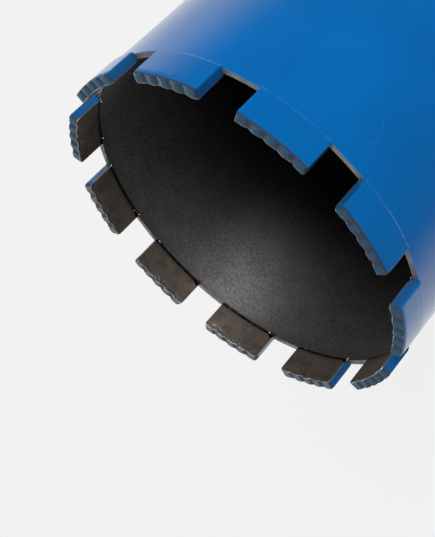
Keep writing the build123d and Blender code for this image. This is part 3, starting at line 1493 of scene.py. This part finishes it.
@dataclass
class BackEnd:
    """The closed end: the back plate and the two welds that hold it.

    The ripples' slant and wander shift their wave, in radians.
    """

    sizes: BitSizes
    finishes: Finishes
    flange_edge: float = 1.5 * MM
    spigot_edge: float = 0.3 * MM
    spigot_clearance: float = 0.1 * MM
    hole_radius: float = 19.1 * MM
    hub_weld_leg: float = 5.0 * MM
    hub_weld_swell: float = 0.42 * MM
    hub_weld_facets: int = 7
    hub_weld_steps: int = 1040
    seam_swell: float = 0.33 * MM
    seam_facets: int = 6
    seam_steps: int = 1408
    ripple_depth: float = 0.12 * MM
    ripple_spacing: float = 1.5 * MM
    ripple_slant: float = 2.5
    ripple_wander: float = 0.8
    wander_size: float = 7 * MM

    def build(self) -> list[Object]:
        """Makes the plate and both welds."""
        return [self._plate(), self._hub_weld(), self._seam_weld()]

    def _plate(self) -> Object:
        """Makes the disc, painted below and dark on the face inside the barrel.

        Returns:
            The disc.
        """
        outer, low, groove = self.sizes.barrel_radius, self.sizes.plate_bottom, self.sizes.groove
        flange_top, top = self.sizes.barrel_foot, self.sizes.plate_top
        spigot = self.sizes.barrel_bore - self.spigot_clearance
        profile = [
            (self.hole_radius, low),
            ((self.hole_radius + outer) / 2, low),
            (outer - self.flange_edge, low),
            (outer, low + self.flange_edge),
            (outer, flange_top - groove),
            (outer - groove, flange_top),
            (spigot, flange_top),
            (spigot, top - self.spigot_edge),
            (spigot - self.spigot_edge, top),
            (self.hole_radius, top),
        ]
        bm = Shop.ring(profile, self.sizes.spin_steps)
        for face in bm.faces:
            painted = face.calc_center_median().z < flange_top - groove / 4
            face.material_index = Skin.PAINTED if painted else Skin.INSIDE
        materials = [self.finishes.plate_paint, self.finishes.inside]
        return Shop.piece(bm, "back_plate_disc", materials, Slot.PLATE, ["back_plate"])

    def _ripple(self, bm: BMesh, radius: float) -> None:
        """Presses the scalloped ripples of a weld pool into a bead.

        Args:
            bm: The bead's mesh.
            radius: The bead's distance from the bit's axis.
        """
        count = round(math.tau * radius / self.ripple_spacing)
        bm.normal_update()
        for vert in bm.verts:
            angle = math.atan2(vert.co.y, vert.co.x)
            wander = noise.noise(vert.co / self.wander_size) * self.ripple_wander
            height = (vert.co.z - self.sizes.plate_bottom) / self.hub_weld_leg
            wave = 0.5 + 0.5 * math.sin(count * angle + self.ripple_slant * height + wander)
            vert.co -= vert.normal * self.ripple_depth * wave

    @staticmethod
    def _arched(start: Point, end: Point, swell: Point, facets: int) -> list[Point]:
        """A line that swells out between its ends.

        Args:
            start: The line's start.
            end: The line's end.
            swell: How far its middle stands out, along both axes.
            facets: The number of straight stretches.

        Returns:
            The line's points.
        """
        points = []
        for i in range(facets + 1):
            share = i / facets
            rise = math.sin(math.pi * share)
            ends = zip(start, end, swell)
            points.append(tuple(low + (high - low) * share + out * rise for low, high, out in ends))
        return points

    def _hub_weld(self) -> Object:
        """Makes the fillet between the hub and the plate.

        Returns:
            The fillet.
        """
        inner, low, leg = self.sizes.hub_radius, self.sizes.plate_bottom, self.hub_weld_leg
        swell = (self.hub_weld_swell, -self.hub_weld_swell)
        face = self._arched((inner, low - leg), (inner + leg, low), swell, self.hub_weld_facets)
        bm = Shop.ring([*face, (inner, low)], self.hub_weld_steps)
        self._ripple(bm, inner + leg / 2)
        return Shop.piece(bm, "hub_weld_bead", [self.finishes.plate_paint], Slot.PLATE, ["hub_weld"])

    def _seam_weld(self) -> Object:
        """Makes the bead that fills the groove between the barrel and the plate.

        Returns:
            The bead.
        """
        outer, middle, depth = self.sizes.barrel_radius, self.sizes.barrel_foot, self.sizes.groove
        swell = (self.seam_swell, 0.0)
        face = self._arched((outer, middle - depth), (outer, middle + depth), swell, self.seam_facets)
        bm = Shop.ring([*face, (outer - depth, middle)], self.seam_steps)
        self._ripple(bm, outer)
        return Shop.piece(bm, "seam_weld_bead", [self.finishes.plate_paint], Slot.PLATE, ["seam_weld"])


@dataclass
class Hub:
    """The turned boss with its spanner flats and its female thread.

    The thread's root is a share of its pitch. Its cutter starts some turns below the end face.
    """

    sizes: BitSizes
    finishes: Finishes
    steps: int = 256
    bore_radius: float = 14.1 * MM
    pilot_radius: float = 19.0 * MM
    end_edge: float = 1.0 * MM
    lead_in: float = 2.4 * MM
    run_out: float = 1.0 * MM
    flat_reach: float = 22.0 * MM
    flat_half: float = 20.5 * MM
    flat_cut_depth: float = 8 * MM
    flat_cut_width: float = 52.8 * MM
    flat_overrun: float = 4 * MM
    thread_radius: float = 15.875 * MM
    thread_overlap: float = 0.3 * MM
    threads_per_inch: int = 7
    thread_root: float = 0.125
    flank_angle: float = math.radians(30)
    turns_below: float = 1.5
    extra_turns: int = 2
    thread_steps: int = 84

    def build(self) -> Object:
        """Spins the boss, cuts its flats and then its thread.

        Returns:
            The hub.
        """
        body = put("hub_boss", Shop.mesh(self._boss(), "hub_boss"))
        cutters = [put("flat_cutter", Shop.mesh(self._flat(side), "flat_cutter")) for side in (-1, 1)]
        cutters.append(put("thread_cutter", Shop.mesh(self._thread(), "thread_cutter")))
        for cutter in cutters:
            cut = body.modifiers.new(cutter.name, "BOOLEAN")
            cut.operation = "DIFFERENCE"
            cut.solver = "EXACT"
            cut.object = cutter
        bpy.context.view_layer.update()
        graph = bpy.context.evaluated_depsgraph_get()
        mesh = bpy.data.meshes.new_from_object(body.evaluated_get(graph))
        bm = bmesh.new()
        bm.from_mesh(mesh)
        for item in [body, *cutters]:
            bpy.data.objects.remove(item)
        return Shop.piece(bm, "hub_threaded", [self.finishes.hub], Slot.HUB, ["hub"])

    def _boss(self) -> BMesh:
        """Spins the boss before its flats are cut.

        Returns:
            The boss.
        """
        outer, low, top = self.sizes.hub_radius, self.sizes.plate_bottom, self.sizes.plate_top
        profile = [
            (self.bore_radius + self.lead_in, 0.0),
            (outer - self.end_edge, 0.0),
            (outer, self.end_edge),
            (outer, low),
            (self.pilot_radius, low),
            (self.pilot_radius, top),
            (self.bore_radius + self.run_out, top),
            (self.bore_radius, top - self.run_out),
            (self.bore_radius, self.lead_in),
        ]
        return Shop.ring(profile, self.steps)

    def _flat(self, side: int) -> BMesh:
        """Makes the block that cuts one spanner flat.

        Args:
            side: 1 for the flat on +X and -1 for the one on -X.

        Returns:
            The block.
        """
        bm = bmesh.new()
        bmesh.ops.create_cube(bm, size=1.0)
        depth, width, height = self.flat_cut_depth, self.flat_cut_width, self.flat_reach + self.flat_overrun
        bmesh.ops.scale(bm, vec=(depth, width, height), verts=bm.verts)
        shift = (side * (self.flat_half + depth / 2), 0.0, self.flat_reach - height / 2)
        bmesh.ops.translate(bm, vec=shift, verts=bm.verts)
        return bm

    def _thread(self) -> BMesh:
        """Makes the helical ridge that cuts the thread's groove out of the bore.

        Returns:
            The ridge.
        """
        pitch = INCH / self.threads_per_inch
        inside, outside = self.bore_radius - self.thread_overlap, self.thread_radius
        half_root = self.thread_root * pitch / 2
        half_mouth = half_root + (outside - inside) * math.tan(self.flank_angle)
        corners = [(inside, -half_mouth), (outside, -half_root), (outside, half_root), (inside, half_mouth)]
        turns = math.ceil(self.sizes.plate_top / pitch) + self.extra_turns
        start = -self.turns_below * pitch
        bm = bmesh.new()
        face = bm.faces.new([bm.verts.new((radius, 0.0, start + height)) for radius, height in corners])
        bmesh.ops.spin(
            bm,
            geom=[face],
            cent=ORIGIN,
            axis=UP,
            dvec=(0.0, 0.0, pitch / self.thread_steps),
            angle=math.tau * turns,
            steps=self.thread_steps * turns,
            use_duplicate=False,
        )
        Shop.face_outwards(bm)
        return bm


@dataclass(frozen=True)
class SoftLight:
    """A distant soft light.

    The azimuth is the direction that it comes from, in degrees from +X, and the spread is how
    wide it looks. The strength is what a white matt face turned to it shows.
    """

    name: str
    azimuth: float
    elevation: float
    spread: float
    strength: float

    def build(self) -> None:
        """Makes the lamp."""
        lamp = bpy.data.lights.new(self.name, "SUN")
        lamp.energy = self.strength * math.pi
        lamp.angle = math.radians(self.spread)
        towards = -direction(self.azimuth, self.elevation)
        put(self.name, lamp).rotation_euler = towards.to_track_quat("-Z", "Y").to_euler()


@dataclass
class Studio:
    """The plain pale floor and backdrop, and the soft lights."""

    backdrop: Colour = srgb(241, 241, 241)
    floor_half: float = 9.0
    flat_share: float = 0.86
    flat_strength: float = 1.03
    sky_strength: float = 0.15
    lights: Sequence[SoftLight] = (
        SoftLight("key", azimuth=285, elevation=18, spread=24, strength=0.95),
        SoftLight("top", azimuth=95, elevation=76, spread=30, strength=0.35),
        SoftLight("back left", azimuth=125, elevation=10, spread=20, strength=0.25),
        SoftLight("back right", azimuth=55, elevation=10, spread=20, strength=0.25),
    )

    def build(self) -> None:
        """Makes the floor, the world and the lamps."""
        self._floor()
        self._world()
        for light in self.lights:
            light.build()

    def _floor(self) -> None:
        """Makes a wide floor that shows the backdrop's colour and keeps the bit's shadow."""
        bm = bmesh.new()
        bmesh.ops.create_grid(bm, x_segments=1, y_segments=1, size=self.floor_half)
        mesh = Shop.mesh(bm, "floor")
        mesh.materials.append(self._floor_material())
        put("floor", mesh)

    def _floor_material(self) -> Material:
        """Makes the floor's material, matt but for the camera and reflections.

        Returns:
            The material, which shows those two mostly a flat colour.
        """
        material = bpy.data.materials.new("studio floor")
        material.use_nodes = True
        material.node_tree.nodes.clear()
        graph = Graph(material.node_tree)
        share = graph.math("MULTIPLY", graph.backdrop_rays(), self.flat_share)
        matt = graph.add("ShaderNodeBsdfDiffuse", {"Color": self.backdrop})
        flat = graph.add("ShaderNodeEmission", {"Color": self.backdrop, "Strength": self.flat_strength})
        mix = graph.add("ShaderNodeMixShader", {0: share, 1: matt.outputs[0], 2: flat.outputs[0]})
        graph.add("ShaderNodeOutputMaterial", {"Surface": mix.outputs[0]})
        return material

    def _world(self) -> None:
        """Makes the backdrop that the camera sees, and a weaker even light for everything else."""
        world = bpy.data.worlds.new("studio")
        bpy.context.scene.world = world
        world.use_nodes = True
        world.node_tree.nodes.clear()
        graph = Graph(world.node_tree)
        strength = graph.between(graph.backdrop_rays(), self.sky_strength, 1.0)
        sky = graph.add("ShaderNodeBackground", {"Color": self.backdrop, "Strength": strength})
        graph.add("ShaderNodeOutputWorld", {"Surface": sky.outputs[0]})


@dataclass(frozen=True)
class PhotoCamera:
    """The photograph's viewpoint, as angles and distance from the centre of the rim."""

    azimuth: float = 261.672
    elevation: float = 27.806
    distance: float = 308.774 * MM
    look_azimuth: float = 82.409
    look_pitch: float = -24.619
    roll: float = 137.480
    lens: float = 63.68
    sensor_width: float = 36.0
    clip: Span = Span(0.01, 100.0)

    def build(self, rim: float) -> Object:
        """Places the camera.

        Args:
            rim: The height of the barrel's rim.

        Returns:
            The camera object.
        """
        camera = bpy.data.cameras.new("photo camera")
        camera.lens, camera.sensor_width = self.lens, self.sensor_width
        camera.clip_start, camera.clip_end = self.clip
        item = put("photo camera", camera)
        item.location = Vector((0.0, 0.0, rim)) + self.distance * direction(self.azimuth, self.elevation)
        heading = Matrix.Rotation(math.radians(self.look_azimuth - 90), 3, "Z")
        pitch = Matrix.Rotation(math.radians(90 + self.look_pitch), 3, "X")
        roll = Matrix.Rotation(math.radians(-self.roll), 3, "Z")
        item.rotation_euler = (heading @ pitch @ roll).to_euler()
        bpy.context.scene.camera = item
        return item


def main() -> None:
    """Builds the camera, the studio and every piece of the bit, in that order."""
    logging.basicConfig(level=logging.INFO, format="%(name)s %(message)s")
    bpy.context.scene.view_settings.view_transform = "Standard"
    sizes = BitSizes.from_frame()
    PhotoCamera().build(sizes.rim)
    Studio().build()
    finishes = Finishes(sizes)
    Barrel(sizes, finishes).build()
    CuttingSegments(sizes, finishes).build()
    WeldTraces(sizes, finishes).build()
    BackEnd(sizes, finishes).build()
    Hub(sizes, finishes).build()


if __name__ == "__main__":
    main()
